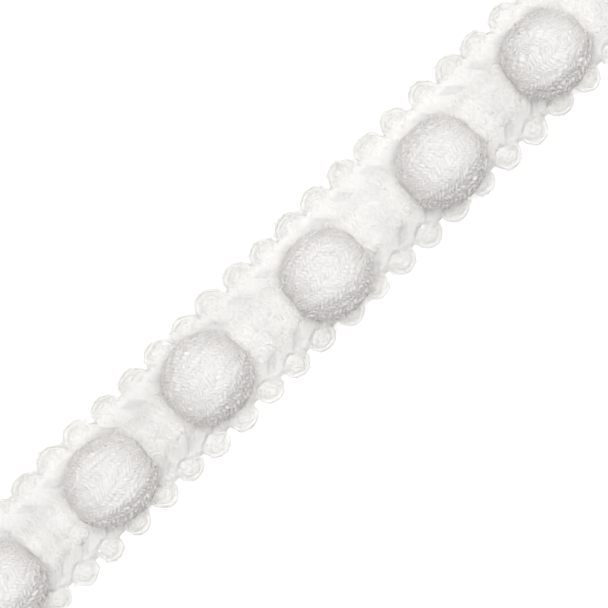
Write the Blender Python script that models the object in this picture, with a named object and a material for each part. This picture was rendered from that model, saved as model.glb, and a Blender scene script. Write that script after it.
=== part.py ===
"""A beaded braid trim, lying flat: a crochet braid with picots along both edges and covered balls along its centre.

The trim runs along X, its back lies on Z = 0, and the origin is under its middle. Sizes are in metres.
"""

import math
import random
from collections import namedtuple

import bmesh
import bpy
from mathutils import Matrix

MM = 0.001
FIT_GAP = 0.3 * MM

# The braid's outline: rounded picots, staggered by half a pitch between the two edges
PICOT_PITCH = 7.22 * MM
PICOTS_PER_EDGE = 28
BRAID_LENGTH = PICOTS_PER_EDGE * PICOT_PITCH
TIP_REACH = 12.6 * MM
NOTCH_REACH = 9.8 * MM
PICOT_ROUNDNESS = 1.75
PICOT_DRIFT = 0.3 * MM
TIP_DRIFT = 0.28 * MM
WIDTH_DRIFT = 0.2 * MM
UNEVEN_SEED = 5

Edge = namedtuple("Edge", "side phase half_width")
EDGES = (
    Edge(side=1, phase=0.07, half_width=3.35 * MM),
    Edge(side=-1, phase=0.57, half_width=3.0 * MM),
)

# The braid's thickness, from the raised centre row out to the edge
CENTRE_THICKNESS = 2.9 * MM
BAR_THICKNESS = 1.9 * MM
PICOT_THICKNESS = 2.7 * MM
EDGE_THICKNESS = 1.0 * MM
EDGE_UNDERCUT = 0.4 * MM
EDGE_ROUNDING = 6
CENTRE_HALF_WIDTH = 4.6 * MM
CENTRE_SHOULDER = 0.9 * MM
PICOT_MIDDLE = 10.1 * MM
PICOT_HALF_DEPTH = 3.0 * MM

# Relief on the braid's face
LOOP_RISE = 0.35 * MM
LOOP_PITCH = 3.61 * MM
BAR_RISE = 0.3 * MM
BAR_SLANT = 1.0
RECESS_DEPTH = 0.75 * MM
RECESS_MIDDLE = 7.4 * MM
RECESS_HALF_WIDTH = 1.0 * MM
RECESS_HALF_DEPTH = 1.5 * MM

# The grid that carries the relief
COLUMNS_PER_PICOT = 8
ROW_SHARES = (0.0, 0.19, 0.37, 0.52, 0.66, 0.80, 0.92, 1.0)

# The covered balls: the cover is gathered at the two ends of the ball's long axis
BALL_SEGMENTS = 24
BALL_RINGS = 14
BALL_FULL_HEIGHT = 16.0 * MM
BALL_BASE_CUT = 2.4 * MM
BALL_SEAT_THICKNESS = 2.5 * MM
BALL_SEAT_RADIUS = 6.2 * MM
BALL_SEAT_SHOULDER = 1.6 * MM
GATHER_PLEATS = 8
GATHER_DEPTH = 0.13
GATHER_REACH = 5
END_PLEAT_DEPTH = 0.025
END_DIMPLE = 0.09
END_DIMPLE_REACH = 14
BALL_UNEVENNESS = 0.012
BALL_UNEVEN_WAVES = 2

Ball = namedtuple("Ball", "along across length breadth turn")
BALLS = (
    Ball(along=-87.9 * MM, across=-0.7 * MM, length=17.5 * MM, breadth=16.9 * MM, turn=4.0),
    Ball(along=-58.7 * MM, across=-0.7 * MM, length=17.7 * MM, breadth=17.0 * MM, turn=-6.0),
    Ball(along=-31.5 * MM, across=0.2 * MM, length=17.5 * MM, breadth=17.2 * MM, turn=5.0),
    Ball(along=-1.1 * MM, across=-1.75 * MM, length=17.3 * MM, breadth=17.2 * MM, turn=-3.0),
    Ball(along=29.7 * MM, across=-1.85 * MM, length=17.5 * MM, breadth=17.0 * MM, turn=2.0),
    Ball(along=58.7 * MM, across=-1.15 * MM, length=17.2 * MM, breadth=16.4 * MM, turn=-5.0),
    Ball(along=87.9 * MM, across=-0.7 * MM, length=17.5 * MM, breadth=16.9 * MM, turn=3.0),
)

WHITE_YARN = (0.87, 0.87, 0.85, 1.0)
COVER_COTTON = (0.84, 0.84, 0.83, 1.0)
YARN_ROUGHNESS = 0.9
COVER_ROUGHNESS = 0.85

Picot = namedtuple("Picot", "centre reach half_width")


def clear_scene():
    for obj in list(bpy.data.objects):
        bpy.data.objects.remove(obj, do_unlink=True)


def cloth_material(name, colour, roughness):
    material = bpy.data.materials.new(name)
    material.use_nodes = True
    shader = material.node_tree.nodes["Principled BSDF"]
    shader.inputs["Base Color"].default_value = colour
    shader.inputs["Roughness"].default_value = roughness
    shader.inputs["Metallic"].default_value = 0.0
    material.diffuse_color = colour
    return material


def add_object(name, mesh_data, material):
    mesh = bpy.data.meshes.new(name)
    bmesh.ops.recalc_face_normals(mesh_data, faces=mesh_data.faces)
    mesh_data.to_mesh(mesh)
    mesh_data.free()
    mesh.shade_smooth()
    mesh.materials.append(material)
    obj = bpy.data.objects.new(name, mesh)
    bpy.context.scene.collection.objects.link(obj)
    return obj


def smooth_step(low, high, value):
    share = min(1.0, max(0.0, (value - low) / (high - low)))
    return share * share * (3.0 - 2.0 * share)


def picots_along(edge, uneven):
    """The picots of one edge, with one more past each end, each a little off its even place and size."""
    picots = []
    for index in range(-PICOTS_PER_EDGE // 2 - 1, PICOTS_PER_EDGE // 2 + 2):
        picots.append(
            Picot(
                centre=(index + edge.phase) * PICOT_PITCH + uneven.uniform(-PICOT_DRIFT, PICOT_DRIFT),
                reach=TIP_REACH + uneven.uniform(-TIP_DRIFT, TIP_DRIFT),
                half_width=edge.half_width + uneven.uniform(-WIDTH_DRIFT, WIDTH_DRIFT),
            )
        )
    return picots


def nearest_picot(picots, along):
    return min(picots, key=lambda picot: abs(picot.centre - along))


def edge_reach(picot, along):
    """How far the braid's edge is from the centre line: a rounded picot, or the floor of a notch."""
    share = min(1.0, abs(along - picot.centre) / picot.half_width)
    bow = (1.0 - share**PICOT_ROUNDNESS) ** (1.0 / PICOT_ROUNDNESS)
    return NOTCH_REACH + (picot.reach - NOTCH_REACH) * bow


def picot_dome(picot, along, away):
    """From 1 in the middle of a picot to 0 at its outline."""
    off_middle = ((along - picot.centre) / picot.half_width) ** 2 + ((away - PICOT_MIDDLE) / PICOT_HALF_DEPTH) ** 2
    return math.sqrt(max(0.0, 1.0 - off_middle))


def recess(picot, along, away):
    """From 1 in the middle of the hollow between two picots' roots to 0 around it. It leans like the bars."""
    notch = picot.centre + math.copysign(PICOT_PITCH / 2, along - picot.centre)
    lean = BAR_SLANT * (RECESS_MIDDLE - away)
    off_notch = (along - notch - lean) / RECESS_HALF_WIDTH
    off_middle = (away - RECESS_MIDDLE) / RECESS_HALF_DEPTH
    return math.exp(-off_notch * off_notch - off_middle * off_middle)


def seat_share(along, across):
    """1 under a ball, where the braid is pressed flat, to 0 clear of it."""
    nearest = min(math.hypot(along - ball.along, across - ball.across) for ball in BALLS)
    return 1.0 - smooth_step(BALL_SEAT_RADIUS, BALL_SEAT_RADIUS + BALL_SEAT_SHOULDER, nearest)


def face_height(picot, along, across):
    """The height of the braid's face: a raised centre row of loops, slanting bars, and a dome on each picot."""
    away = abs(across)
    turn = 2.0 * math.pi
    centre = 1.0 - smooth_step(CENTRE_HALF_WIDTH - CENTRE_SHOULDER, CENTRE_HALF_WIDTH + CENTRE_SHOULDER, away)
    loops = LOOP_RISE * math.cos(turn * along / LOOP_PITCH) * math.cos(turn * away / LOOP_PITCH)
    bars = BAR_RISE * math.cos(turn * (along + BAR_SLANT * away) / LOOP_PITCH)
    dome = picot_dome(picot, along, away)
    flat_part = BAR_THICKNESS + (PICOT_THICKNESS - BAR_THICKNESS) * dome + bars * (1.0 - dome)
    height = flat_part + (CENTRE_THICKNESS + loops - flat_part) * centre
    height -= RECESS_DEPTH * recess(picot, along, away)
    rounded = math.sqrt(max(0.0, 1.0 - (away / edge_reach(picot, along)) ** EDGE_ROUNDING))
    height = EDGE_THICKNESS + (height - EDGE_THICKNESS) * rounded
    seat = seat_share(along, across)
    return height + (BALL_SEAT_THICKNESS - height) * seat


def braid_mesh():
    """A grid shaped to the picots' outline and the face's relief, drawn down to a flat back."""
    uneven = random.Random(UNEVEN_SEED)
    picots = {edge.side: picots_along(edge, uneven) for edge in EDGES}
    rows = len(ROW_SHARES) - 1
    data = bmesh.new()
    bmesh.ops.create_grid(data, x_segments=PICOTS_PER_EDGE * COLUMNS_PER_PICOT, y_segments=2 * rows, size=1.0)
    for vert in data.verts:
        side = 1 if vert.co.y >= 0.0 else -1
        along = vert.co.x * BRAID_LENGTH / 2
        picot = nearest_picot(picots[side], along)
        across = side * ROW_SHARES[round(abs(vert.co.y) * rows)] * edge_reach(picot, along)
        vert.co = (along, across, face_height(picot, along, across))

    drawn = bmesh.ops.extrude_face_region(data, geom=data.faces[:])["geom"]
    back_verts = [item for item in drawn if isinstance(item, bmesh.types.BMVert)]
    back_faces = [item for item in drawn if isinstance(item, bmesh.types.BMFace)]
    bmesh.ops.scale(data, vec=(1.0, 1.0 - EDGE_UNDERCUT / TIP_REACH, 0.0), verts=back_verts)
    bmesh.ops.dissolve_faces(data, faces=back_faces, use_verts=False)
    return data


def dimpled(share):
    """How far along the half length a point of the cover lies, drawn in where the cover is gathered."""
    return share * (1.0 - END_DIMPLE * abs(share) ** END_DIMPLE_REACH)


def longest_dimpled():
    """The furthest that the dimpled end reaches, where its slope along the axis is nothing."""
    return dimpled((1.0 / (END_DIMPLE * (END_DIMPLE_REACH + 1))) ** (1.0 / END_DIMPLE_REACH))


def cover_point(point, ball, phase):
    """A point of the unit ball, with its poles on X, moved to the gathered cover's surface."""
    around = math.atan2(point.z, point.y)
    girth = math.hypot(point.y, point.z)
    pleat = abs(point.x) ** GATHER_REACH * math.cos(GATHER_PLEATS * around)
    bulge = math.cos(BALL_UNEVEN_WAVES * around + phase) * math.cos(BALL_UNEVEN_WAVES * point.x + phase)
    end = dimpled(point.x) / longest_dimpled() * (1.0 + END_PLEAT_DEPTH * pleat * girth)
    girth *= 1.0 + GATHER_DEPTH * pleat + BALL_UNEVENNESS * bulge
    low = BALL_BASE_CUT - BALL_FULL_HEIGHT / 2
    return (
        end * ball.length / 2,
        girth * math.cos(around) * ball.breadth / 2,
        max(low, girth * math.sin(around) * BALL_FULL_HEIGHT / 2),
    )


def ball_mesh(ball, phase):
    data = bmesh.new()
    bmesh.ops.create_uvsphere(data, u_segments=BALL_SEGMENTS, v_segments=BALL_RINGS, radius=1.0)
    bmesh.ops.rotate(data, verts=data.verts, cent=(0.0, 0.0, 0.0), matrix=Matrix.Rotation(math.pi / 2, 3, "Y"))
    for vert in data.verts:
        vert.co = cover_point(vert.co.copy(), ball, phase)
    return data


def make_braid():
    add_object("braid", braid_mesh(), cloth_material("braid_yarn", WHITE_YARN, YARN_ROUGHNESS))


def make_balls():
    material = cloth_material("ball_cover", COVER_COTTON, COVER_ROUGHNESS)
    centre_height = BALL_SEAT_THICKNESS + FIT_GAP + BALL_FULL_HEIGHT / 2 - BALL_BASE_CUT
    for number, ball in enumerate(BALLS, start=1):
        obj = add_object(f"ball_{number}", ball_mesh(ball, phase=float(number)), material)
        obj.location = (ball.along, ball.across, centre_height)
        obj.rotation_euler = (0.0, 0.0, math.radians(ball.turn))


clear_scene()
make_braid()
make_balls()
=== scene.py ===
import math
import random

import bmesh
import bpy
import numpy as np
from mathutils import Matrix, Vector


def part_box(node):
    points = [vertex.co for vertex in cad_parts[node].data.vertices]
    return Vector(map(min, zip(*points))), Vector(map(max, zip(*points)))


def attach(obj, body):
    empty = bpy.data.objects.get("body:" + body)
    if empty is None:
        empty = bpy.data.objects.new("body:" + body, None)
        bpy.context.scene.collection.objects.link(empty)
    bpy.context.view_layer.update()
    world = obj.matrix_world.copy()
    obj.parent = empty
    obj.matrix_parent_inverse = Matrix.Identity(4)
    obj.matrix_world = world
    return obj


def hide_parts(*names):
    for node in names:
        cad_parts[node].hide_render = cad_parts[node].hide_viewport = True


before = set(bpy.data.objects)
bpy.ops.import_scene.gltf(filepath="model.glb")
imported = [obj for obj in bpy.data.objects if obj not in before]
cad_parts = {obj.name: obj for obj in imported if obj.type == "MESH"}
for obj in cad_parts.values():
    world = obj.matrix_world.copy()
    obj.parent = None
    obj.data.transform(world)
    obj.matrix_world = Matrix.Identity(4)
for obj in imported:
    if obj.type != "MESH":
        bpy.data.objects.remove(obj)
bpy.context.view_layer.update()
mm = 0.001
fullTurn = 2 * math.pi
print("frame loaded:", len(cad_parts), "nodes")

# Camera straight above the trim, turned so that the trim climbs to the upper right

cameraSet = {
    "viewSide": 117.9 * mm,  # side of the square that the picture shows
    "aim": (-8.24 * mm, -2.71 * mm),
    "climb": 44.6,  # degrees from the picture's bottom edge to the trim
    "lens": 200.0,
    "sensor": 36.0,
    "focusHeight": 2.0 * mm,
    "clip": (0.01, 20.0),  # the nearest and the farthest that it sees, in metres
}


def addCamera(settings):
    data = bpy.data.cameras.new("trimCamera")
    data.lens = settings["lens"]
    data.sensor_width = settings["sensor"]
    data.clip_start, data.clip_end = settings["clip"]
    camera = bpy.data.objects.new("trimCamera", data)
    away = settings["viewSide"] * settings["lens"] / settings["sensor"]
    camera.location = (*settings["aim"], settings["focusHeight"] + away)
    camera.rotation_euler = (0, 0, -math.radians(settings["climb"]))
    bpy.context.scene.collection.objects.link(camera)
    bpy.context.scene.camera = camera


addCamera(cameraSet)

# Shader maths: a socket that adds its own nodes when it is used in an expression


class Socket:
    def __init__(self, tree, socket):
        self.tree = tree
        self.socket = socket

    def node(self, kind, settings=None, inputs=None, output=0):
        made = self.tree.nodes.new(kind)
        for key, value in (settings or {}).items():
            setattr(made, key, value)
        for key, value in (inputs or {}).items():
            if isinstance(value, Socket):
                self.tree.links.new(value.socket, made.inputs[key])
            else:
                made.inputs[key].default_value = value
        return Socket(self.tree, made.outputs[output])

    def maths(self, operation, first, second=0.0):
        return self.node("ShaderNodeMath", {"operation": operation}, {0: first, 1: second})

    def __add__(self, other):
        return self.maths("ADD", self, other)

    def __radd__(self, other):
        return self.maths("ADD", other, self)

    def __sub__(self, other):
        return self.maths("SUBTRACT", self, other)

    def __rsub__(self, other):
        return self.maths("SUBTRACT", other, self)

    def __mul__(self, other):
        return self.maths("MULTIPLY", self, other)

    def __rmul__(self, other):
        return self.maths("MULTIPLY", other, self)

    def mixed(self, low, high):
        # sockets 6 and 7 take the two colours and output 2 gives the mixed one
        settings = {"data_type": "RGBA"}
        return self.node("ShaderNodeMix", settings, {"Factor": self, 6: low, 7: high}, output=2)


def startMaterial(name, constants):
    material = bpy.data.materials.new(name)
    material.use_nodes = True
    shader = material.node_tree.nodes["Principled BSDF"]
    for key, value in constants.items():
        shader.inputs[key].default_value = value
    return material, shader, Socket(material.node_tree, None)


def feed(shader, values):
    for key, value in values.items():
        value.tree.links.new(value.socket, shader.inputs[key])


def carried(start, name):
    # a value that the mesh carries under this name
    return start.node("ShaderNodeAttribute", {"attribute_name": name}, output=2)


def noiseAt(start, place, scale, detail):
    return start.node("ShaderNodeTexNoise", None, {"Vector": place, "Scale": scale, "Detail": detail})


# Stitches of the knit: legs of yarn that lean one way or the other, for the shader and for the mesh alike

stitchSet = {
    "reach": 0.6,  # half length of a leg of yarn, in rows
    "half": 0.5,  # half width of a leg, in stitches
    "lean": 0.85,  # stitches that a leg leans over one row
    "leaning": 0.6,  # share of the rows that lean the same way
    "paces": (0.381966, 0.754878, 0.56984),  # spread the legs' places, leans and sizes unevenly
    "plump": (0.35, 0.7),  # least height of a leg, and what chance adds
    "bump": 0.0001,
}


def knitLeg(start):
    # height of the leg of yarn at each place, from 0 in the gaps to about 1
    sets = stitchSet
    row = carried(start, "rowPlace")
    stitch = carried(start, "stitchPlace")
    placePace, leanPace, plumpPace = sets["paces"]
    line = start.maths("FLOOR", row)
    up = row - line - 0.5
    side = start.maths("LESS_THAN", start.maths("FRACT", line * leanPace), sets["leaning"]) * 2 - 1
    along = stitch + line * placePace + side * up * sets["lean"]
    number = start.maths("FLOOR", along)
    off = along - number - 0.5
    chance = start.maths("FRACT", line * plumpPace + number * leanPace)
    plump = chance * sets["plump"][1] + sets["plump"][0]
    over = up * up * sets["reach"] ** -2 + off * off * sets["half"] ** -2
    return start.maths("SQRT", start.maths("MAXIMUM", 1 - over, 0.0)) * plump


def legHeight(row, stitch):
    # the same for the points of a mesh
    sets = stitchSet
    placePace, leanPace, plumpPace = sets["paces"]
    line = np.floor(row)
    up = row - line - 0.5
    side = np.where(line * leanPace % 1 < sets["leaning"], 1, -1)
    along = stitch + line * placePace + side * up * sets["lean"]
    number = np.floor(along)
    off = along - number - 0.5
    plump = (line * plumpPace + number * leanPace) % 1 * sets["plump"][1] + sets["plump"][0]
    return np.sqrt(np.clip(1 - (up / sets["reach"]) ** 2 - (off / sets["half"]) ** 2, 0, 1)) * plump


# Cotton: each kind has the tones of its fibres, some of them painted light and painted shade, and the scale
# of their noise, in waves to the metre

cottonSet = {
    "yarn": {
        "light": (0.9, 0.9, 0.89, 1),
        "deep": (0.85, 0.85, 0.84, 1),
        # painted light, mixed in along the middle of the centre row and at the picots' rims
        "paintedLight": (0.99, 0.99, 0.98, 1),
        "fibre": 2600.0,
    },
    # a darker copy of the yarn's tones: painted shade that dims the picots
    "picot": {
        "light": (0.835, 0.835, 0.825, 1),
        "deep": (0.78, 0.78, 0.77, 1),
        # painted light, mixed in along the middle of the centre row and at the picots' rims
        "paintedLight": (0.95, 0.95, 0.94, 1),
        "fibre": 2600.0,
    },
    "bar": {
        "light": (0.9, 0.9, 0.89, 1),
        "deep": (0.84, 0.84, 0.83, 1),
        "fibre": 2600.0,
    },
    "ground": {
        "light": (0.87, 0.87, 0.86, 1),
        "deep": (0.82, 0.82, 0.81, 1),
        # painted light, mixed in along the middle of the centre row and at the picots' rims
        "paintedLight": (0.94, 0.94, 0.93, 1),
        # painted shade in the slots between the bars
        "gapShade": (0.74, 0.74, 0.735, 1),
        "fibre": 2200.0,
    },
    "cover": {
        "light": (0.885, 0.885, 0.88, 1),
        "deep": (0.825, 0.823, 0.818, 1),
        # painted shade between the legs of yarn
        "gapShade": (0.8, 0.795, 0.788, 1),
        "openGapShade": (0.57, 0.565, 0.57, 1),  # painted shade between slack stitches
        # painted shade: a warm darker tone on the steep sides
        "sideShadeTone": (0.86, 0.795, 0.73, 1),
        "sideShadeShare": 0.14,
        "fibre": 1800.0,
        "loose": 1250.0,  # roughness of the sides
        "looseBump": 0.0004,
    },
    "paintedShadeTone": (0.6, 0.565, 0.52, 1),  # painted shade: a painted shadow round the balls and shade on the picots of the far edge
    "paintedShadeShare": 0.13,
    "patch": 260.0,  # slow change of tone
    "patchShare": 0.5,
    "details": {"fibre": 3.0, "patch": 2.0, "loose": 1.0},
    "bump": 0.0003,
    "bumpStrength": 0.8,
    "constants": {"Roughness": 0.9, "Specular IOR Level": 0.2, "Sheen Weight": 0.3, "Sheen Roughness": 0.5},
}


def cottonMaterial(name, kind, knitted=False):
    sets = cottonSet
    tones = sets[kind]
    details = sets["details"]
    material, shader, start = startMaterial(name, sets["constants"])
    place = start.node("ShaderNodeTexCoord", output=3)  # on the object
    fibre = noiseAt(start, place, tones["fibre"], details["fibre"])
    patch = noiseAt(start, place, sets["patch"], details["patch"])
    mixture = fibre * (1 - sets["patchShare"]) + patch * sets["patchShare"]
    tone = mixture.mixed(tones["deep"], tones["light"])
    fine = {"Height": fibre, "Distance": sets["bump"], "Strength": sets["bumpStrength"]}
    bump = start.node("ShaderNodeBump", None, fine)
    if knitted:
        leg = knitLeg(start)
        side = carried(start, "side")
        # painted shade between the legs of yarn, darker below the fold and down the sides
        gapShade = carried(start, "slack").mixed(tones["gapShade"], tones["openGapShade"])
        tone = leg.mixed(gapShade, tone)
        # painted shade: a warm darker tone on the covers' steep sides
        tone = (side * tones["sideShadeShare"]).mixed(tone, tones["sideShadeTone"])
        loose = noiseAt(start, place, tones["loose"], details["loose"]) * side
        for height, reach in ((leg, stitchSet["bump"]), (loose, tones["looseBump"])):
            bump = start.node("ShaderNodeBump", None, {"Height": height, "Distance": reach, "Normal": bump})
    # painted light: a paler tone along the middle of the centre row and at the picots' rims
    if "paintedLight" in tones:
        tone = carried(start, "paintedLight").mixed(tone, tones["paintedLight"])
    if not knitted:
        # painted shade: a greyer tone as a shadow round each ball and on the far edge's picots
        tone = (carried(start, "paintedShade") * sets["paintedShadeShare"]).mixed(tone, sets["paintedShadeTone"])
    # painted shade: a darker tone in the ground's slots and in the covers' creases
    if "gapShade" in tones:
        tone = carried(start, "hollowShade").mixed(tone, tones["gapShade"])
    feed(shader, {"Base Color": tone, "Normal": bump})
    return material


yarnCotton = cottonMaterial("yarnCotton", "yarn")
shadedPicotCotton = cottonMaterial("shadedPicotCotton", "picot")
barCotton = cottonMaterial("barCotton", "bar")
groundCotton = cottonMaterial("groundCotton", "ground")
coverCotton = cottonMaterial("coverCotton", "cover", knitted=True)
print("materials made")


def setValues(mesh, name, values):
    layer = mesh.attributes.new(name, "FLOAT", "POINT")
    layer.data.foreach_set("value", values)


def addPiece(name, mesh, material):
    mesh.materials.clear()
    mesh.materials.append(material)
    mesh.shade_smooth()
    piece = bpy.data.objects.new(name, mesh)
    bpy.context.scene.collection.objects.link(piece)
    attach(piece, "root")
    return piece


def softStep(low, high, value):
    share = np.clip((value - low) / (high - low), 0, 1)
    return share * share * (3 - 2 * share)


def waver(uneven, count, step):
    # a smooth run of random values from -1 to 1, with one drawn value every step points
    steps = max(2, count // step)
    drawn = np.array([uneven.uniform(-1, 1) for _ in range(steps + 2)])
    place = np.arange(count) / count * steps
    whole = place.astype(int)
    return drawn[whole] + (drawn[whole + 1] - drawn[whole]) * softStep(0, 1, place - whole)


# Picots: the same drifts of place and size as the solid braid has

picotSet = {
    "pitch": 7.22 * mm,
    "count": 28,
    "tipReach": 12.6 * mm,  # from the middle line of the braid
    "notchReach": 9.8 * mm,
    "roundness": 1.75,
    "drift": 0.3 * mm,
    "tipDrift": 0.28 * mm,
    "widthDrift": 0.2 * mm,
    "seed": 5,
    "edges": (
        {"side": 1, "phase": 0.07, "halfWidth": 3.35 * mm},
        {"side": -1, "phase": 0.57, "halfWidth": 3.0 * mm},
    ),
}
braidLength = picotSet["pitch"] * picotSet["count"]


def picotsOf(settings):
    uneven = random.Random(settings["seed"])
    picots = {}
    for edge in settings["edges"]:
        row = []
        for index in range(-settings["count"] // 2 - 1, settings["count"] // 2 + 2):
            drift = uneven.uniform(-settings["drift"], settings["drift"])
            reach = settings["tipReach"] + uneven.uniform(-settings["tipDrift"], settings["tipDrift"])
            halfWidth = edge["halfWidth"] + uneven.uniform(-settings["widthDrift"], settings["widthDrift"])
            centre = (index + edge["phase"]) * settings["pitch"] + drift
            row.append({"centre": centre, "reach": reach, "halfWidth": halfWidth, "side": edge["side"]})
        picots[edge["side"]] = row
    return picots


picots = picotsOf(picotSet)


def picotsAt(along, across):
    # the nearest picot's middle, half width and reach for every point
    centre = np.zeros_like(along)
    halfWidth = np.ones_like(along)
    reach = np.ones_like(along)
    for side in (1, -1):
        here = (across >= 0) == (side > 0)
        table = np.array([[p["centre"], p["halfWidth"], p["reach"]] for p in picots[side]])
        nearest = np.abs(along[here][:, None] - table[:, 0]).argmin(axis=1)
        centre[here], halfWidth[here], reach[here] = table[nearest].T
    return centre, halfWidth, reach


def edgeReach(along, centre, halfWidth, reach):
    share = np.clip(np.abs(along - centre) / halfWidth, 0, 1)
    bow = (1 - share ** picotSet["roundness"]) ** (1 / picotSet["roundness"])
    return picotSet["notchReach"] + (reach - picotSet["notchReach"]) * bow


# Upper surface of the braid, as one height for each place, which the ground and the yarns follow

surfaceSet = {
    "centre": 2.75 * mm,  # height along the middle line
    "centreArch": 0.5 * mm,  # how much lower the sides of the centre row lie
    "centreHalf": 4.9 * mm,  # half its width
    "shoulder": 1.2 * mm,  # half the width of its slope down to the bars
    "border": ((7.22 * mm, 0.4 * mm), (11.3 * mm, 0.3 * mm), (4.1 * mm, 0.25 * mm)),  # waves and their reach
    "bar": {1: 2.15 * mm, -1: 2.3 * mm},  # height of the bars on the +Y side and on the -Y side
    "barArch": 0.3 * mm,
    "leanFrom": {1: 7.4 * mm, -1: 6.6 * mm},
    "slot": {1: 1.65 * mm, -1: 1.75 * mm},  # height in the slots between the bars
    "slotAway": 6.6 * mm,
    "slotHalfDepth": 1.6 * mm,
    "slotHalfWidth": 1.4 * mm,
    "slotFades": ((0.4, 1.05), (0.55, 1.05)),  # shares of the half width and half depth over which it fades
    "dip": 0.3 * mm,  # small hollows where the bars leave the centre row
    "dipAway": 4.4 * mm,
    "dipRadius": 1.0 * mm,
    "rootAway": 8.2 * mm,  # where the bars end and the picots begin
    "rootBorder": 0.5,  # how far this line follows the border of the centre row
    "rootBow": {1: 0.0, -1: 0.7 * mm},
    "rootBlend": {1: 0.9 * mm, -1: 0.35 * mm},
    "rootDepth": {1: 0.0, -1: 0.6 * mm},  # of the furrow along this line
    "rootWidth": {1: 0.5 * mm, -1: 0.35 * mm},
    "rootHalf": {1: 2.2 * mm, -1: 1.5 * mm},
    "rootFade": (0.7, 1.1),
    "rootShift": {1: 0.3 * mm, -1: -0.8 * mm},
    "widest": 9.9 * mm,  # where the picots are widest
    "pitDepth": 3.2 * mm,
    "crown": {1: 1.8 * mm, -1: 1.55 * mm},  # height of the picots
    "rim": 0.65 * mm,  # height at their edges
    "valley": 1.75 * mm,  # between two picots where they leave the bars
    "valleyFade": (9.0 * mm, 10.4 * mm),
    "seat": 2.15 * mm,  # greatest height under a ball
    "seatFade": (6.2 * mm, 7.8 * mm),
    # how many slow and quick waves, their lengths and their rise
    "lumps": ((4, 2.6 * mm, 3.6 * mm, 0.04 * mm), (10, 0.95 * mm, 1.8 * mm, 0.015 * mm)),
    "seed": 3,
}
ballCount = 7


def ballPlaces():
    places = []
    for number in range(1, ballCount + 1):
        low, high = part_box(f"ball_{number}")
        places.append({"name": f"ball_{number}", "low": Vector(low), "high": Vector(high)})
    return places


balls = ballPlaces()


def fromBalls(along, across):
    # how far each point lies from the middle of the nearest ball
    middles = [(place["low"] + place["high"]) / 2 for place in balls]
    return np.min([np.hypot(along - middle.x, across - middle.y) for middle in middles], axis=0)


def seatShare(along, across):
    # 1 under the middle of a ball and 0 clear of it
    return 1 - softStep(*surfaceSet["seatFade"], fromBalls(along, across))


def lumpWaves(settings):
    # waves in random directions, each as its pace along and across, start and rise
    uneven = random.Random(settings["seed"])
    waves = []
    for count, shortest, longest, rise in settings["lumps"]:
        for _ in range(count):
            heading = uneven.uniform(0, fullTurn)
            pace = fullTurn / uneven.uniform(shortest, longest)
            start = uneven.uniform(0, fullTurn)
            waves.append((pace * math.cos(heading), pace * math.sin(heading), start, rise))
    return waves


lumps = lumpWaves(surfaceSet)


def fromSlots(along, away, centre, side):
    # how far each point lies, along the braid, from the middle of the slanting slot beside it
    lean = surfaceSet["leanFrom"][side] - away
    return (along - centre - lean + picotSet["pitch"]) % picotSet["pitch"] - picotSet["pitch"] / 2


def slotShare(fromSlot, away):
    sets = surfaceSet
    widthFade, depthFade = sets["slotFades"]
    share = 1 - softStep(*widthFade, np.abs(fromSlot) / sets["slotHalfWidth"])
    return share * (1 - softStep(*depthFade, np.abs(away - sets["slotAway"]) / sets["slotHalfDepth"]))


def borderSway(along, start, share=1.0):
    # how far the border of the centre row strays outwards
    return sum(share * rise * np.sin(fullTurn * along / wave + start) for wave, rise in surfaceSet["border"])


def bobbleTop(along, away, mid, halfWidth, reach, side):
    # height of the picots, which fall to a rim and to the valleys between them
    sets = surfaceSet
    depth = np.where(away > sets["widest"], reach - sets["widest"], sets["pitDepth"])
    off = ((along - mid) / halfWidth) ** 2 + ((away - sets["widest"]) / depth) ** 2
    valley = sets["rim"] + (sets["valley"] - sets["rim"]) * (1 - softStep(*sets["valleyFade"], away))
    return valley + (sets["crown"][side] - valley) * np.clip(1 - off, 0, 1)


def barTop(along, away, mid, side):
    # height of the bars with their slots and dips, and of the centre row
    sets = surfaceSet
    fromSlot = fromSlots(along, away, mid, side)
    bar = sets["bar"][side] - sets["barArch"] * (np.abs(fromSlot) * 2 / picotSet["pitch"] - 1) ** 2
    bar += (sets["slot"][side] - bar) * slotShare(fromSlot, away)
    fromDip = np.hypot(np.abs(fromSlot) - picotSet["pitch"] / 2, away - sets["dipAway"])
    dip = sets["dip"] * np.exp(-(fromDip / sets["dipRadius"]) ** 2)
    half = sets["centreHalf"] + borderSway(along, side)
    inCentre = 1 - softStep(half - sets["shoulder"], half + sets["shoulder"], away)
    centre = sets["centre"] - sets["centreArch"] * (away / sets["centreHalf"]) ** 2
    return bar + (centre - bar) * inCentre - dip


def loftyTop(along, across):
    sets = surfaceSet
    centre, halfWidth, reach = picotsAt(along, across)
    height = np.empty_like(along)
    for side in (1, -1):
        here = (across >= 0) == (side > 0)
        x, away, mid, half = along[here], np.abs(across)[here], centre[here], halfWidth[here]
        bobble = bobbleTop(x, away, mid, half, reach[here], side)
        top = barTop(x, away, mid, side)
        rootAway = sets["rootAway"] + sets["rootBow"][side] * (np.abs(x - mid) / half) ** 2
        rootAway += borderSway(x, -side, sets["rootBorder"])
        root = sets["rootDepth"][side] * np.exp(-((away - rootAway) / sets["rootWidth"][side]) ** 2)
        blend = sets["rootBlend"][side]
        outside = softStep(rootAway - blend, rootAway + blend, away)
        fromRoot = np.abs(x - mid - sets["rootShift"][side]) / sets["rootHalf"][side]
        height[here] = top + (bobble - top) * outside - root * (1 - softStep(*sets["rootFade"], fromRoot))
    for paceAlong, paceAcross, start, rise in lumps:
        height += rise * np.sin(along * paceAlong + across * paceAcross + start)
    return height + (np.minimum(height, sets["seat"]) - height) * seatShare(along, across)


# Painted light and painted shade on the braid: tones that change from place to place

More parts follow.
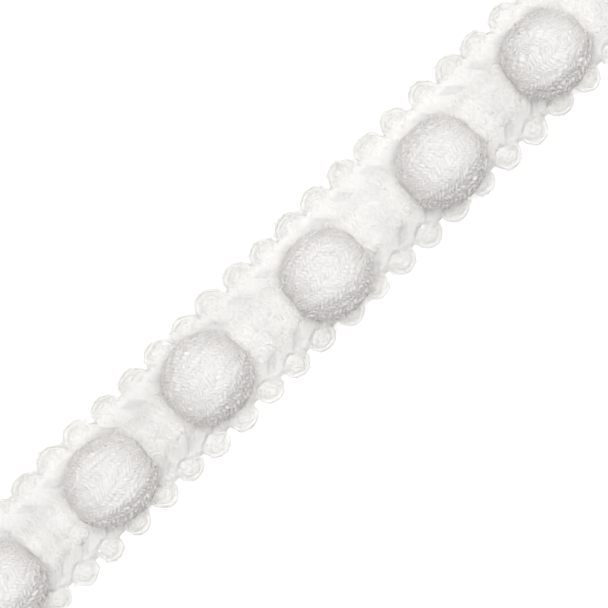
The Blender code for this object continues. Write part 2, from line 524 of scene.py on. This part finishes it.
shadeSet = {
    "centreFade": (0.5, 1.1),  # shares of the centre's half width over which its painted light fades
    "centreMiddle": -0.9 * mm,
    "rimFade": (0.5, 0.95),  # shares of a picot's reach over which painted light makes its rim paler
    "shadowRingStart": (8.6 * mm, 9.4 * mm),  # from a ball's middle, where the painted shadow round it begins
    "shadowRingEnd": (10.4 * mm, 12.6 * mm),
}


def paintedLightShare(along, across):
    # 1 where painted light brightens the yarns: along the middle of the centre row and at the rims of the
    # picots
    rootAway, widest = surfaceSet["rootAway"], surfaceSet["widest"]
    fromMiddle = np.abs(across - shadeSet["centreMiddle"]) / surfaceSet["centreHalf"]
    inCentre = 1 - softStep(*shadeSet["centreFade"], fromMiddle)
    centre, halfWidth, reach = picotsAt(along, across)
    away = np.abs(across)
    outward = np.maximum(away - widest, 0) / (reach - widest)
    off = ((along - centre) / halfWidth) ** 2 + outward ** 2
    inRim = softStep(*shadeSet["rimFade"], off) * softStep(rootAway, widest, away)
    return np.maximum(inCentre, inRim)


def paintedShadeShare(along, across):
    # 1 where painted shade greys the yarns: a painted shadow close round a ball, and painted shade on the
    #                                        picots of the far edge
    away = fromBalls(along, across)
    ring = softStep(*shadeSet["shadowRingStart"], away) * (1 - softStep(*shadeSet["shadowRingEnd"], away))
    return np.maximum(ring, softStep(surfaceSet["rootAway"], surfaceSet["widest"], across))


# Ground of the braid: a closed sheet that fills in just under the yarns

groundSet = {
    "perPicot": 32,
    "rows": 88,
    "inset": 0.1 * mm,
    "endInset": 0.2 * mm,
    "ragged": 0.07 * mm,
    "raggedWaves": (0.93 * mm, 1.27 * mm, 1.71 * mm),
    "back": 0.1 * mm,
    "under": 0.06 * mm,
    "least": 0.3 * mm,
    "squareness": 14,  # of its edges in cross-section
}


def makeGround():
    sets = groundSet
    data = bmesh.new()
    columns = picotSet["count"] * sets["perPicot"]
    bmesh.ops.create_grid(data, x_segments=columns, y_segments=sets["rows"], size=1.0)
    flat = np.array([vert.co[:] for vert in data.verts])
    along = flat[:, 0] * (braidLength / 2 - sets["endInset"])
    centre, halfWidth, reach = picotsAt(along, flat[:, 1])
    ragged = sum(np.sin(fullTurn * along / wave + flat[:, 1]) for wave in sets["raggedWaves"])
    rim = edgeReach(along, centre, halfWidth, reach)
    bow = (rim - picotSet["notchReach"]) / (reach - picotSet["notchReach"])  # 1 at a tip and 0 at a notch
    across = flat[:, 1] * (rim - sets["inset"] + sets["ragged"] * ragged * bow)
    height = loftyTop(along, across) - sets["under"]
    rounded = np.sqrt(np.clip(1 - np.abs(flat[:, 1]) ** sets["squareness"], 0, 1))
    height = sets["least"] + (np.maximum(height, sets["least"]) - sets["least"]) * rounded
    # mask of the painted shade in the slots
    hollowShade = np.zeros_like(along)
    for side in (1, -1):
        here = (across >= 0) == (side > 0)
        away = np.abs(across[here])
        hollowShade[here] = slotShare(fromSlots(along[here], away, centre[here], side), away)
    for vert, place in zip(data.verts, np.stack((along, across, height), axis=1)):
        vert.co = place
    border = [item for item in data.edges if item.is_boundary]
    drawn = bmesh.ops.extrude_edge_only(data, edges=border)["geom"]
    for item in drawn:
        if isinstance(item, bmesh.types.BMVert):
            item.co.z = sets["back"]
    bmesh.ops.contextual_create(data, geom=[item for item in drawn if isinstance(item, bmesh.types.BMEdge)])
    bmesh.ops.recalc_face_normals(data, faces=data.faces)
    mesh = bpy.data.meshes.new("braidGround")
    data.to_mesh(mesh)
    data.free()
    low = np.zeros(len(mesh.vertices) - len(hollowShade))
    values = {"hollowShade": hollowShade, "paintedLight": paintedLightShare(along, across), "paintedShade": paintedShadeShare(along, across)}
    for name, column in values.items():
        setValues(mesh, name, np.concatenate((column, low)))
    piece = addPiece("braidGround", mesh, groundCotton)
    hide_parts("braid")
    return piece


ground = makeGround()
print("ground made")

# Yarns: paths of points that become round strands, half sunk in the ground

yarnSet = {
    "least": 0.15 * mm,  # lowest that the underside of a strand lies
    "covered": 0.98,  # from this share of a ball's seat on a strand is left out
    "fewest": 4,  # points of a strand
    "weld": 1e-7,
}


def yarnPiece(name, paths, material, sideSteps=1):
    curve = bpy.data.curves.new(name, "CURVE")
    curve.dimensions = "3D"
    curve.bevel_depth = 1.0
    curve.bevel_resolution = sideSteps
    curve.use_fill_caps = True
    for path in paths:
        spline = curve.splines.new("POLY")
        spline.points.add(len(path["points"]) - 1)
        flat = np.ones((len(path["points"]), 4))
        flat[:, :3] = path["points"]
        spline.points.foreach_set("co", flat.ravel())
        spline.points.foreach_set("radius", path["radii"])
    holder = bpy.data.objects.new(name, curve)
    bpy.context.scene.collection.objects.link(holder)
    bpy.context.view_layer.update()
    graph = bpy.context.evaluated_depsgraph_get()
    mesh = bpy.data.meshes.new_from_object(holder.evaluated_get(graph))
    bpy.data.objects.remove(holder)
    bpy.data.curves.remove(curve)
    data = bmesh.new()
    data.from_mesh(mesh)
    bmesh.ops.remove_doubles(data, verts=data.verts, dist=yarnSet["weld"])
    data.to_mesh(mesh)
    data.free()
    print(name, len(paths), "strands,", sum(len(face.vertices) - 2 for face in mesh.polygons), "triangles")
    along, across = np.array([vert.co[:2] for vert in mesh.vertices]).T
    setValues(mesh, "paintedLight", paintedLightShare(along, across))
    setValues(mesh, "paintedShade", paintedShadeShare(along, across))
    return addPiece(name, mesh, material)


def keptPaths(points, radii):
    # the stretches of a path that lie between the cut ends and not right under a ball
    inside = np.abs(points[:, 0]) < braidLength / 2 - radii.max()
    inside &= seatShare(points[:, 0], points[:, 1]) < yarnSet["covered"]
    turns = np.flatnonzero(np.diff(np.concatenate(([0], inside, [0]))))
    return [{"points": points[start:end], "radii": radii[start:end]}
            for start, end in zip(turns[::2], turns[1::2]) if end - start >= yarnSet["fewest"]]


def laidOn(along, across, radii, lift):
    # points of a strand whose top stands at the braid's upper surface, raised by lift
    height = np.maximum(loftyTop(along, across) - radii + lift, radii + yarnSet["least"])
    return np.stack((along, across, height), axis=1)


# Curls: short bent strands whose ends dive into the braid, scattered over a patch

curlSet = {
    "points": 7,
    "bend": (0.35 * mm, 1.3 * mm),
    "turn": (0.9, 3.0),  # how far round a curl bends, in radians
    "rough": 0.1 * mm,
    "roughStep": 3,
    "radius": (0.26 * mm, 0.42 * mm),
    "taper": 0.25,
    "lift": (-0.01 * mm, 0.05 * mm),
    "dive": 0.35 * mm,
    "slotLimit": 0.5,  # a curl that reaches farther into a slot is left out
}


def overSlot(along, across):
    away = np.abs(across)
    centre = picotsAt(along, across)[0]
    side = 1 if across[len(across) // 2] > 0 else -1
    return slotShare(fromSlots(along, away, centre, side), away).max() > curlSet["slotLimit"]


def curlAt(along, across, heading, uneven):
    sets = curlSet
    bend = uneven.uniform(*sets["bend"])
    turn = uneven.uniform(*sets["turn"])
    run = np.linspace(-0.5, 0.5, sets["points"])
    angle = heading + run * turn
    offset = waver(uneven, sets["points"], sets["roughStep"]) * sets["rough"]
    x = along + bend * (np.cos(angle) - math.cos(heading)) + offset
    y = across + bend * (np.sin(angle) - math.sin(heading)) - offset
    radii = uneven.uniform(*sets["radius"]) * (1 - sets["taper"] * (2 * run) ** 2)
    lift = uneven.uniform(*sets["lift"]) - sets["dive"] * np.abs(2 * run) ** 3
    edge = edgeReach(x, *picotsAt(x, y))
    if overSlot(x, y) or (np.abs(y) > edge - radii).any():
        return []
    return keptPaths(laidOn(x, y, radii, lift), radii)


# Picots: each is a small bobble of yarn, loops one inside another with a few curls over them

bobbleSet = {
    "loops": (0.84, 0.48),  # how far out each loop lies, as a share of the picot
    "loopDrift": 0.04,
    "arc": (-0.3, 1.3),  # where a loop begins and ends, in half turns
    "radius": 0.4 * mm,
    "radiusDrift": 0.25,
    "points": 26,
    "fewest": 9,
    "rootDepth": 1.5 * mm,  # from the widest line of the bobble to its root
    "crimp": 0.24 * mm,
    "crimpStep": 2,
    "lift": {1: (-0.04 * mm, 0.01 * mm), -1: (-0.02 * mm, 0.04 * mm)},
    "liftDrift": 0.03 * mm,
    "liftStep": 4,
    "curls": 12,
    "spread": 0.66,  # how far out the curls reach
    "spreadDepth": 2.6 * mm,
    "spiral": 2.4,  # radians from one curl to the next
    "spiralDrift": 0.5,
    "seed": 11,
}


def bobbleLoop(picot, share, uneven):
    sets = bobbleSet
    count = max(sets["fewest"], int(sets["points"] * share))
    angle = math.pi * np.linspace(*sets["arc"], count)
    widest = surfaceSet["widest"]
    depth = np.where(np.sin(angle) > 0, picot["reach"] - widest, sets["rootDepth"])
    step = sets["crimpStep"]
    off = share * picot["halfWidth"] * np.cos(angle) + waver(uneven, count, step) * sets["crimp"]
    away = widest + share * depth * np.sin(angle) + waver(uneven, count, step) * sets["crimp"]
    radii = sets["radius"] * (1 + sets["radiusDrift"] * waver(uneven, count, step))
    lift = uneven.uniform(*sets["lift"][picot["side"]])
    lift = lift + sets["liftDrift"] * waver(uneven, count, sets["liftStep"])
    return keptPaths(laidOn(picot["centre"] + off, picot["side"] * away, radii, lift), radii)


def makeBobbles():
    sets = bobbleSet
    made = []
    for side, name in ((1, "picotYarnsLeft"), (-1, "picotYarnsRight")):
        uneven = random.Random(sets["seed"] + side)
        paths = []
        for picot in picots[side]:
            for share in sets["loops"]:
                drift = uneven.uniform(-1, 1) * sets["loopDrift"]
                paths += bobbleLoop(picot, share + drift, uneven)
            for k in range(sets["curls"]):
                spread = sets["spread"] * math.sqrt((k + 0.5) / sets["curls"])
                angle = k * sets["spiral"] + uneven.uniform(-sets["spiralDrift"], sets["spiralDrift"])
                along = picot["centre"] + spread * picot["halfWidth"] * math.cos(angle)
                away = surfaceSet["widest"] + spread * sets["spreadDepth"] * math.sin(angle)
                paths += curlAt(along, side * away, uneven.uniform(0, fullTurn), uneven)
        made.append(yarnPiece(name, paths, shadedPicotCotton))
    return made


picotYarns = makeBobbles()

# Bars: strands that slant from the centre row to the picots, and curls between them

barSet = {
    "places": (-1.7 * mm, -0.85 * mm, 0.0, 0.85 * mm, 1.7 * mm),  # of the strands, from a slot's middle
    "radius": 0.42 * mm,
    "radiusDrift": 0.14,
    "points": 18,
    "from": 3.4 * mm,
    "to": {1: (8.4 * mm, 10.6 * mm), -1: (7.5 * mm, 8.0 * mm)},
    "crimp": 0.14 * mm,
    "crimpStep": 3,
    "lift": 0.05 * mm,
    "liftStep": 4,
    "endDive": 0.3 * mm,
    "slotDive": 0.4 * mm,  # how far the strands sink where they cross a slot
    "curls": 15,
    "curlAway": {1: (4.6, 9.0), -1: (4.6, 7.6)},  # in mm from the middle line
    "curlDrift": 1.7,  # in mm
    "seed": 17,
}


def barStrand(picot, place, uneven):
    sets = barSet
    side = picot["side"]
    count = sets["points"]
    run = np.linspace(0, 1, count)
    reachEnd = uneven.uniform(*sets["to"][side])
    away = sets["from"] + (reachEnd - sets["from"]) * run
    along = picot["centre"] + place + picotSet["pitch"] / 2 + surfaceSet["leanFrom"][side] - away
    along = along + waver(uneven, count, sets["crimpStep"]) * sets["crimp"]
    away = away + waver(uneven, count, sets["crimpStep"]) * sets["crimp"]
    radii = sets["radius"] * (1 + sets["radiusDrift"] * waver(uneven, count, sets["crimpStep"]))
    lift = waver(uneven, count, sets["liftStep"]) * sets["lift"] - sets["endDive"] * np.abs(2 * run - 1) ** 6
    lift -= sets["slotDive"] * slotShare(fromSlots(along, away, picot["centre"], side), away)
    return keptPaths(laidOn(along, side * away, radii, lift), radii)


def makeBars():
    sets = barSet
    uneven = random.Random(sets["seed"])
    paths = []
    for side in (1, -1):
        for picot in picots[side]:
            for place in sets["places"]:
                paths += barStrand(picot, place, uneven)
            for _ in range(sets["curls"]):
                away = uneven.uniform(*sets["curlAway"][side]) * mm
                drift = uneven.uniform(-sets["curlDrift"], sets["curlDrift"]) * mm
                along = picot["centre"] + surfaceSet["leanFrom"][side] - away + drift
                paths += curlAt(along, side * away, uneven.uniform(0, fullTurn), uneven)
    return yarnPiece("barYarns", paths, barCotton)


barYarns = makeBars()

# Centre row: lofty coils of yarn, side by side, under a scatter of curls

coilSet = {
    "rows": (-3.9 * mm, -1.3 * mm, 1.3 * mm, 3.9 * mm),  # middle lines of the coils
    "ends": (1.2 * mm, 2.0 * mm),  # left free at the first end, and in all
    "pitch": 1.35 * mm,
    "halfWidth": 1.15 * mm,
    "widthDrift": 0.35,
    "lengthwise": 0.75,  # how long a loop is for its width
    "radius": 0.46 * mm,
    "radiusDrift": 0.18,
    "perLoop": 10,
    "rough": 0.4 * mm,
    "roughStep": 5,
    "sway": 0.7 * mm,
    "swayStep": 23,
    "unevenPace": 0.75,
    "paceStep": 6,
    "lift": (0.08 * mm, 0.075 * mm),
    "liftTurn": 0.6,
    "liftStep": 4,
    "curls": 1700,
    "curlSpread": 3.1,  # in mm, as the next
    "curlLimit": 5.2,
    "seed": 23,
}


def coilPath(row, uneven):
    sets = coilSet
    perLoop = sets["perLoop"]
    count = int((braidLength - sets["ends"][1]) / sets["pitch"]) * perLoop
    wide = sets["halfWidth"] * (1 + sets["widthDrift"] * waver(uneven, count, perLoop))
    pace = 1 + sets["unevenPace"] * waver(uneven, count, sets["paceStep"])
    angle = uneven.uniform(0, fullTurn) + np.cumsum(pace) / perLoop * fullTurn
    along = -braidLength / 2 + sets["ends"][0] + np.arange(count) / perLoop * sets["pitch"]
    rough = waver(uneven, count, sets["roughStep"]) * sets["rough"]
    along += sets["lengthwise"] * wide * np.sin(angle) + rough
    across = row + wide * np.cos(angle) + waver(uneven, count, sets["roughStep"]) * sets["rough"]
    across += waver(uneven, count, sets["swayStep"]) * sets["sway"]
    radii = sets["radius"] * (1 + sets["radiusDrift"] * waver(uneven, count, sets["liftStep"]))
    uneasy = sets["liftTurn"] * np.sin(angle) + waver(uneven, count, sets["liftStep"])
    return keptPaths(laidOn(along, across, radii, sets["lift"][0] + sets["lift"][1] * uneasy), radii)


def makeCentreRow():
    sets = coilSet
    uneven = random.Random(sets["seed"])
    paths = []
    for row in sets["rows"]:
        paths += coilPath(row, uneven)
    for _ in range(sets["curls"]):
        along = uneven.uniform(-0.5, 0.5) * braidLength
        across = max(-sets["curlLimit"], min(sets["curlLimit"], uneven.gauss(0, sets["curlSpread"]))) * mm
        paths += curlAt(along, across, uneven.uniform(0, fullTurn), uneven)
    return yarnPiece("centreLoops", paths, yarnCotton)


centreLoops = makeCentreRow()

# Fuzz: fine fibres that stand out round the picots

fuzzSet = {
    "perPicot": {1: 100, -1: 50},
    "points": 4,
    "radius": 0.024 * mm,
    "length": (0.5 * mm, 1.2 * mm),
    "rooted": 0.5 * mm,  # how far inside the edge they start
    "bend": 0.25,
    "spread": 1.1,  # radians to either side of straight out
    "height": (0.6 * mm, 1.4 * mm),
    "seed": 41,
}


def fuzzPath(picot, uneven):
    sets = fuzzSet
    off = uneven.uniform(-1, 1) * picot["halfWidth"]
    along = np.array([picot["centre"] + off])
    reach = edgeReach(along, picot["centre"], picot["halfWidth"], picot["reach"])[0] - sets["rooted"]
    heading = math.pi / 2 - off / picot["halfWidth"] + uneven.uniform(-sets["spread"], sets["spread"])
    run = np.linspace(0, uneven.uniform(*sets["length"]), sets["points"])
    bend = uneven.uniform(-sets["bend"], sets["bend"]) * run ** 2 / sets["length"][1]
    points = np.empty((sets["points"], 3))
    points[:, 0] = along + run * math.cos(heading) - bend * math.sin(heading)
    points[:, 1] = picot["side"] * (reach + run * math.sin(heading) + bend * math.cos(heading))
    points[:, 2] = uneven.uniform(*sets["height"])
    return keptPaths(points, np.full(sets["points"], sets["radius"]))


def makeFuzz():
    uneven = random.Random(fuzzSet["seed"])
    paths = []
    for side in (1, -1):
        for picot in picots[side]:
            for _ in range(fuzzSet["perPicot"][side]):
                paths += fuzzPath(picot, uneven)
    return yarnPiece("picotFuzz", paths, yarnCotton, sideSteps=0)


picotFuzz = makeFuzz()

# Ball covers: knitted cotton over a round mould, gathered at both ends of the axis along the braid

coverSet = {
    "rows": 44,  # rows of stitches, which run from one gathered end to the other
    "stitches": 32,  # stitches to a row
    "perRow": 4,  # steps of the mesh
    "perStitch": 4,
    "stitchRise": 0.28 * mm,
    "stitchSunk": 0.6,  # share of this by which the ground of the knit lies lower than the mould
    "stitchEnds": (3, 0.1),  # how fast the stitches flatten towards the gathered ends, and how far
    "stitchSides": 0.6,  # how much more they stand out at the sides
    "swing": 0.35,  # how far the stitches wander along their rows, in stitches
    "rowWander": 0.5,  # how far the rows wander, in rows
    "pull": (10, 4, 0.11),  # waves that pull the rows about, the greatest pace of one, and their reach
    "turns": (4.0, -6.0, 5.0, -3.0, 2.0, -5.0, 3.0),  # of each ball on the braid, in degrees
    "shrinkAlong": 0.975,
    "widestAt": 7.2 * mm,  # height of the widest line
    "endDimple": (0.034, 30),  # depth, and how close it keeps to the ends
    "lump": (0.009, 2, 2.3),  # rise, waves round the ball and pace along it
    "smallLump": (0.0063, 3, 3.1),
    "crinkles": (16, 1.7 * mm, 3.4 * mm, 0.03 * mm),  # how many waves, their lengths and their rise
    "slack": 0.45,  # how much more the stitches stand out below the fold
    "sideFade": (0.5, 0.9),  # steepness over which the sides begin
    "rimGapShade": 0.42,  # how much painted shade darkens the gaps between the stitches down the sides
    "foldGapShade": 0.25,  # how much more painted shade darkens them below the fold
    "creaseShade": 0.3,
    "seed": 31,
}


def unitBall():
    sets = coverSet
    data = bmesh.new()
    bmesh.ops.create_uvsphere(
        data,
        u_segments=sets["rows"] * sets["perRow"],
        v_segments=sets["stitches"] * sets["perStitch"],
        radius=1.0,
    )
    bmesh.ops.rotate(data, verts=data.verts, cent=(0, 0, 0), matrix=Matrix.Rotation(math.pi / 2, 3, "Y"))
    bmesh.ops.recalc_face_normals(data, faces=data.faces)
    mesh = bpy.data.meshes.new("unitBall")
    data.to_mesh(mesh)
    data.free()
    return mesh


def knitPlaces(uneven, around, fromPole):
    # the row and the stitch at each place, as counts that wander and are pulled about
    sets = coverSet
    swing = sets["swing"] * np.sin(3 * fromPole + uneven.uniform(0, fullTurn))
    wander = sets["rowWander"] * np.sin(2 * fromPole + uneven.uniform(0, fullTurn))
    row = around / fullTurn * sets["rows"] + wander * np.sin(2 * around + uneven.uniform(0, fullTurn))
    swing = swing * np.sin(around + uneven.uniform(0, fullTurn))
    knit = fromPole / math.pi * sets["stitches"] + swing + 1
    count, most, reach = sets["pull"]
    for _ in range(count):
        swayRound, swayAlong = (uneven.randint(1, most) * 2 for _ in range(2))
        start = uneven.uniform(0, fullTurn)
        row += reach * np.sin(swayRound * around + swayAlong * fromPole + start)
        knit += reach * np.cos(swayRound * around - swayAlong * fromPole + start)
    return row, knit


# Creases run out from the gathered ends; angles go round from underneath by way of the +Y side

creaseSet = {
    "count": 12,
    "drift": 0.35,
    "lengths": (0.6, 1.05),  # radians from the gathered end
    "depths": (0.4, 0.8),
    "longPlaces": ((208, 250), (110, 152)),  # in degrees
    "longLengths": (1.2, 1.6),
    "longDepths": (0.8, 1.1),
    "bend": 0.35,
    "fade": 0.6,
    "depth": 0.5 * mm,
    "width": 0.5 * mm,
}


def creaseDepths(uneven, around, fromEnd, girth, radius):
    sets = creaseSet
    total = np.zeros_like(around)
    folds = [(math.radians(uneven.uniform(*span)), uneven.uniform(*sets["longLengths"]),
              uneven.uniform(*sets["longDepths"])) for span in sets["longPlaces"]]
    for k in range(sets["count"]):
        angle = fullTurn * (k + uneven.uniform(-sets["drift"], sets["drift"])) / sets["count"]
        folds.append((angle, uneven.uniform(*sets["lengths"]), uneven.uniform(*sets["depths"])))
    for angle, length, depth in folds:
        bend = uneven.uniform(-sets["bend"], sets["bend"])
        off = np.angle(np.exp(1j * (around - angle - bend * fromEnd))) * girth * radius
        fade = np.clip(1 - fromEnd / length, 0, 1) ** sets["fade"]
        total += depth * fade * np.exp(-(off / sets["width"]) ** 2)
    return sets["depth"] * (1 - np.exp(-total))


def lumpShares(uneven, around, x):
    # two slow waves that make each ball a little uneven
    shift = uneven.uniform(0, fullTurn)
    rise, waves, pace = coverSet["lump"]
    lump = rise * np.cos(waves * around + shift) * np.cos(pace * x + shift)
    rise, waves, pace = coverSet["smallLump"]
    return lump + rise * np.cos(waves * around - shift) * np.cos(pace * x + 2 * shift)


def crinkleRise(uneven, points, radius):
    count, shortest, longest, rise = coverSet["crinkles"]
    total = np.zeros(len(points))
    for _ in range(count):
        heading = Vector([uneven.gauss(0, 1) for _ in range(3)]).normalized()
        pace = fullTurn * radius / uneven.uniform(shortest, longest)
        total += rise * np.sin(points @ np.array(heading) * pace + uneven.uniform(0, fullTurn))
    return total


# Fold: the cover stands out towards it and drops beyond it, where it is slack; spans in radians from the fold

foldSet = {
    "place": (208, 225),  # in degrees round, as for the creases
    "sway": (0.08, 2.3),  # reach and pace of its wander along the cover
    "climb": (-0.6, -0.12),
    "drop": (-0.12, 0.22),
    "slackStart": (-0.26, 0.2),
    "slackEnd": (0.9, 1.3),
    "firstEnd": (0.12, 0.5),  # where it begins and ends, from the gathered ends
    "lastEnd": (0.7, 0.3),
    "rise": 0.28 * mm,
}


def foldShares(uneven, around, fromPole):
    sets = foldSet
    reach, pace = sets["sway"]
    start = uneven.uniform(0, fullTurn)
    place = math.radians(uneven.uniform(*sets["place"]))
    past = around - place - reach * np.sin(pace * fromPole + start)
    rise = softStep(*sets["climb"], past) - softStep(*sets["drop"], past)
    slack = softStep(*sets["slackStart"], past) * (1 - softStep(*sets["slackEnd"], past))
    last = 1 - softStep(*(math.pi - end for end in sets["lastEnd"]), fromPole)
    return rise * softStep(*sets["firstEnd"], fromPole) * last, slack


def dimpledEnds(x):
    # places along the axis with both ends drawn in, scaled so that the cover keeps its length
    depth, reach = coverSet["endDimple"]
    peak = (1 / (depth * (reach + 1))) ** (1 / reach)
    return x * (1 - depth * np.abs(x) ** reach) / (peak * (1 - depth * peak ** reach))


def coverPoints(points, place, number):
    sets = coverSet
    uneven = random.Random(sets["seed"] + number)
    half = (place["high"] - place["low"]) / 2
    half.x *= sets["shrinkAlong"]
    centre = (place["high"] + place["low"]) / 2
    x = points[:, 0]
    around = (np.arctan2(points[:, 2], points[:, 1]) + math.pi / 2) % fullTurn  # from underneath
    fromPole = np.arccos(np.clip(x, -1, 1))
    girth = np.sin(fromPole)
    row, knit = knitPlaces(uneven, around, fromPole)
    pace, least = sets["stitchEnds"]
    stitch = legHeight(row, knit) * sets["stitchRise"] * np.clip(girth * pace, least, 1)
    stitch *= 1 + sets["stitchSides"] * np.sin(around) ** 2
    creases = creaseDepths(uneven, around, fromPole, girth, half.y)
    creases += creaseDepths(uneven, around, math.pi - fromPole, girth, half.y)
    lump = lumpShares(uneven, around, x)
    fold, slack = foldShares(uneven, around, fromPole)
    stitch *= 1 + sets["slack"] * slack
    folded = crinkleRise(uneven, points, half.y) + foldSet["rise"] * fold
    sunk = sets["stitchRise"] * sets["stitchSunk"]
    grow = 1 + lump + (stitch + folded - sunk - creases) / half.y
    along = dimpledEnds(x) * half.x * (1 + (stitch - sunk) / half.x)
    across = girth * np.sin(around) * half.y * grow
    height = -girth * np.cos(around) * (place["high"].z - sets["widestAt"]) * grow
    turn = math.radians(sets["turns"][number])
    moved = np.empty_like(points)
    moved[:, 0] = along * math.cos(turn) - across * math.sin(turn) + centre.x
    moved[:, 1] = along * math.sin(turn) + across * math.cos(turn) + centre.y
    moved[:, 2] = np.maximum(height, place["low"].z - sets["widestAt"]) + sets["widestAt"]
    steep = np.sqrt(np.clip(1 - (girth * np.cos(around)) ** 2, 0, 1))
    side = softStep(*sets["sideFade"], steep)
    return moved, {
        "hollowShade": np.clip(sets["creaseShade"] * creases / creaseSet["depth"], 0, 1),
        "rowPlace": row,
        "stitchPlace": knit,
        # mask of the painted shade between the stitches, below the fold and down the sides
        "slack": np.maximum(slack, sets["rimGapShade"] * side) + sets["foldGapShade"] * slack * side,
        "side": side,
    }


def makeBalls():
    unit = unitBall()
    flat = np.empty(len(unit.vertices) * 3)
    unit.vertices.foreach_get("co", flat)
    for number, place in enumerate(balls):
        mesh = unit.copy()
        mesh.name = f"ballCover_{number + 1}"
        moved, values = coverPoints(flat.reshape(-1, 3), place, number)
        mesh.vertices.foreach_set("co", moved.ravel())
        for name, column in values.items():
            setValues(mesh, name, column)
        mesh.update()
        piece = addPiece(mesh.name, mesh, coverCotton)
        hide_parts(place["name"])
    bpy.data.meshes.remove(unit)


makeBalls()
print("ball covers made")

# Floor and lights

studioSet = {
    "floorSize": 6.0,
    "floor": {
        "Base Color": (0.95, 0.95, 0.95, 1),
        "Roughness": 1.0,
        "Emission Color": (1, 1, 1, 1),
        "Emission Strength": 0.12,
    },
    "sky": {"Color": (1.0, 0.85, 0.69, 1), "Strength": 0.085},
    # each lamp stands this far from the aim along X and Y, and this high, in metres
    "lamps": (
        {"name": "overheadLamp", "size": 0.55, "power": 8.95, "towards": (0.03, 0.03), "height": 1.1},
        {"name": "farLamp", "size": 0.9, "power": 1.8, "towards": (0.1, 1.3), "height": 0.75},
        {"name": "rightLamp", "size": 0.5, "power": 3.6, "towards": (0.85, 0.05), "height": 0.7},
        {"name": "leftLamp", "size": 0.5, "power": 3.0, "towards": (-0.85, 0.0), "height": 0.7},
    ),
}


def makeStudio(settings):
    data = bmesh.new()
    bmesh.ops.create_grid(data, x_segments=1, y_segments=1, size=settings["floorSize"] / 2)
    mesh = bpy.data.meshes.new("floor")
    data.to_mesh(mesh)
    data.free()
    floor = bpy.data.objects.new("floor", mesh)
    bpy.context.scene.collection.objects.link(floor)
    mesh.materials.append(startMaterial("floorWhite", settings["floor"])[0])

    world = bpy.data.worlds.new("studioWorld")
    world.use_nodes = True
    for key, value in settings["sky"].items():
        world.node_tree.nodes["Background"].inputs[key].default_value = value
    bpy.context.scene.world = world

    aim = Vector((*cameraSet["aim"], 0))
    for lamp in settings["lamps"]:
        light = bpy.data.lights.new(lamp["name"], "AREA")
        light.shape = "SQUARE"
        light.size = lamp["size"]
        light.energy = lamp["power"]
        holder = bpy.data.objects.new(lamp["name"], light)
        holder.location = aim + Vector((*lamp["towards"], lamp["height"]))
        holder.rotation_euler = (aim - holder.location).to_track_quat("-Z", "Y").to_euler()
        holder.visible_camera = False
        bpy.context.scene.collection.objects.link(holder)
    bpy.context.scene.view_settings.view_transform = "Standard"


makeStudio(studioSet)
print("studio made")
